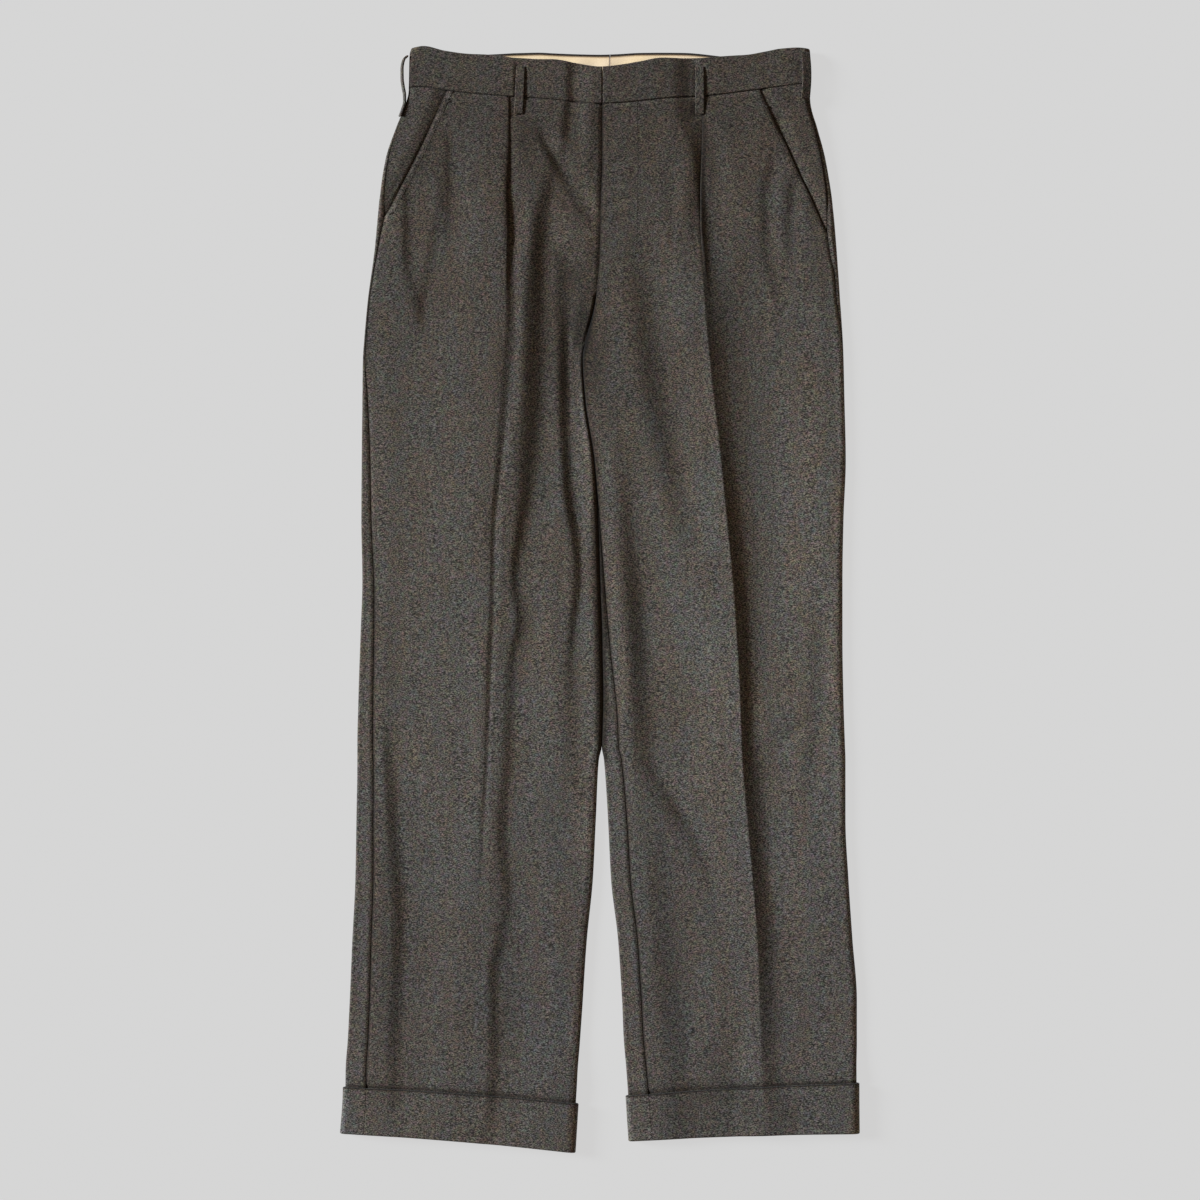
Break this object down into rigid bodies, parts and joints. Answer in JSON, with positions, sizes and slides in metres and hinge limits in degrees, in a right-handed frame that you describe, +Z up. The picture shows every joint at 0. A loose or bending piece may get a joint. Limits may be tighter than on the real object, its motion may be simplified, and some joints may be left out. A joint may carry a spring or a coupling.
{
  "type": "pleated dress trousers",
  "caption": "Dress trousers with a forward pleat on each leg, slant pockets, belt loops and turn-ups, laid flat on their back.",
  "frame": {"origin": "middle of the outline seen from above, on the surface under the trousers", "axes": "+Z up, out of the front of the trousers; +Y from the hems to the waist; +X to the wearer's left"},
  "size_m": [0.52, 1.1066, 0.0155],
  "materials": {
    "wool": "dark brown-grey melange wool with a fine crepe-like weave, nearly matt",
    "cotton_lining": "plain cream cotton waistband lining, matt"
  },
  "bodies": {
    "root": {"right_back": "wool", "right_front": "wool", "right_pocket_side": "wool", "right_waistband": "wool", "right_waist_lining": "cotton_lining", "right_turnup_front": "wool", "right_turnup_back": "wool", "right_front_loop": "wool", "right_side_loop": "wool", "left_back": "wool", "left_front": "wool", "left_pocket_side": "wool", "left_waistband": "wool", "left_waist_lining": "cotton_lining", "left_turnup_front": "wool", "left_turnup_back": "wool", "left_front_loop": "wool", "left_side_loop": "wool"}
  },
  "joints": []
}
